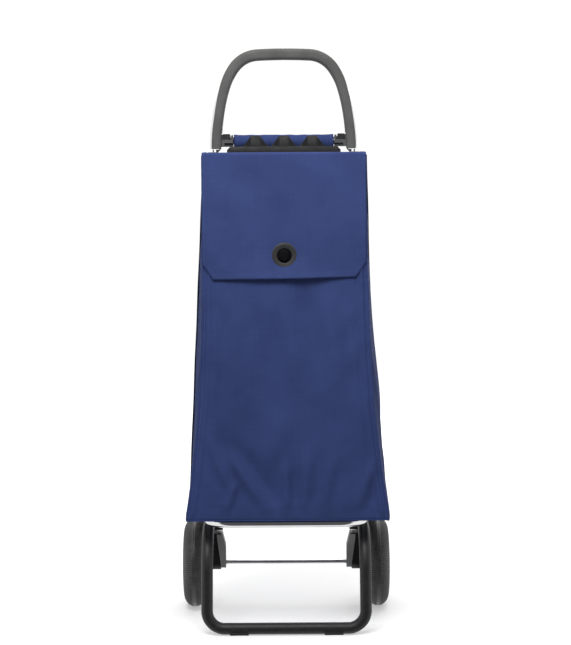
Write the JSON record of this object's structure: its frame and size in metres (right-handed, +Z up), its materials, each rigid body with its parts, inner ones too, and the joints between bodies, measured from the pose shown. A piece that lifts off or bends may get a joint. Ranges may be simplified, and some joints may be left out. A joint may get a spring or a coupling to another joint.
{
  "type": "folding shopping trolley",
  "caption": "Two-wheeled folding shopping trolley: aluminium frame, fold-down grip handle, folding tray and foot, and a tall fabric bag with an eyelet flap.",
  "frame": {"origin": "on the floor, under the middle of the trolley's outer box with the handle up and the foot and tray down", "axes": "+Z up, -Y is the front where the flap and the foot are, +X to the right seen from the front"},
  "size_m": [0.389, 0.326, 1.055],
  "materials": {
    "aluminium_tube": "satin anodised aluminium",
    "polished_tube": "polished bright tube",
    "steel": "bright zinc-plated steel",
    "black_plastic": "fine-grained black nylon",
    "grey_plastic": "dark grey moulded nylon",
    "grey_casting": "mid-grey glass-filled nylon",
    "grip_plastic": "soft satin dark grey grip plastic",
    "black_paint": "satin black powder coat",
    "glide_rubber": "matt black rubber",
    "tyre_foam": "black ribbed foam tyre",
    "hub_plastic": "dark grey moulded hub plastic",
    "nylon": "natural nylon",
    "base_board": "pressed fibre-reinforced board",
    "bag_fabric": "navy blue coated polyester, plain weave"
  },
  "bodies": {
    "frame": {"upright_left": "aluminium_tube", "upright_right": "aluminium_tube", "bracket_left": "black_plastic", "bracket_right": "black_plastic", "axle_support_left": "grey_casting", "axle_support_right": "grey_casting", "axle_cheek_left": "black_plastic", "axle_cheek_right": "black_plastic", "axle": "steel", "axle_spacers": "steel", "axle_clips": "steel", "bracket_bolts": "steel", "upright_rivets": "steel", "tray_pivot_pins": "steel", "foot_pivot_pins": "steel", "hinge_base_left": "grey_plastic", "hinge_base_right": "grey_plastic", "hinge_pins": "steel", "crossbar": "aluminium_tube", "button_spring_left": "steel", "button_spring_right": "steel", "bag_back": "bag_fabric", "bag_front": "bag_fabric", "bag_gusset_left": "bag_fabric", "bag_gusset_right": "bag_fabric", "bag_floor": "bag_fabric", "bag_hanger": "black_plastic", "crossbar_sleeve": "bag_fabric", "closure_knob": "black_plastic"},
    "button_left": {"release_button_left": "black_plastic"},
    "button_right": {"release_button_right": "black_plastic"},
    "handle": {"handle_tube_left": "aluminium_tube", "handle_tube_right": "aluminium_tube", "handle_end_left": "grey_plastic", "handle_end_right": "grey_plastic", "handle_grip": "grip_plastic"},
    "flap": {"flap_top": "bag_fabric", "flap_front": "bag_fabric", "eyelet_ring": "grey_plastic", "eyelet_washer": "grey_plastic"},
    "tray": {"tray_loop": "polished_tube", "tray_knuckles": "black_plastic", "bag_base_board": "base_board"},
    "foot": {"foot_tube": "black_paint", "foot_knuckles": "black_plastic", "foot_glides": "glide_rubber"},
    "wheel_left": {"tyre_left": "tyre_foam", "wheel_hub_left": "hub_plastic", "wheel_bush_left": "nylon", "hub_cap_left": "hub_plastic"},
    "wheel_right": {"tyre_right": "tyre_foam", "wheel_hub_right": "hub_plastic", "wheel_bush_right": "nylon", "hub_cap_right": "hub_plastic"}
  },
  "joints": [
    {"name": "handle_fold", "type": "hinge", "parent": "frame", "child": "handle", "pos_m": [0, 0.097, 0.884], "axis": [-1, 0, 0], "range_deg": [0, 180]},
    {"name": "flap_lift", "type": "hinge", "parent": "frame", "child": "flap", "pos_m": [0, 0.065, 0.866], "axis": [-1, 0, 0], "range_deg": [0, 90]},
    {"name": "tray_fold", "type": "hinge", "parent": "frame", "child": "tray", "pos_m": [0, 0.039, 0.204], "axis": [-1, 0, 0], "range_deg": [0, 90], "deforming": ["bag_front", "bag_gusset_left", "bag_gusset_right", "bag_floor"]},
    {"name": "foot_fold", "type": "hinge", "parent": "frame", "child": "foot", "pos_m": [0, 0.017, 0.182], "axis": [1, 0, 0], "range_deg": [0, 90]},
    {"name": "wheel_left_spin", "type": "hinge", "parent": "frame", "child": "wheel_left", "pos_m": [-0.1735, 0.079, 0.084], "axis": [1, 0, 0], "continuous": true},
    {"name": "wheel_right_spin", "type": "hinge", "parent": "frame", "child": "wheel_right", "pos_m": [0.1735, 0.079, 0.084], "axis": [1, 0, 0], "continuous": true},
    {"name": "button_left_press", "type": "slide", "parent": "frame", "child": "button_left", "axis": [1, 0, 0], "range_m": [0, 0.003], "stiffness_N_per_m": 800, "springref_m": -0.002, "deforming": ["button_spring_left"]},
    {"name": "button_right_press", "type": "slide", "parent": "frame", "child": "button_right", "axis": [-1, 0, 0], "range_m": [0, 0.003], "stiffness_N_per_m": 800, "springref_m": -0.002, "deforming": ["button_spring_right"]}
  ]
}
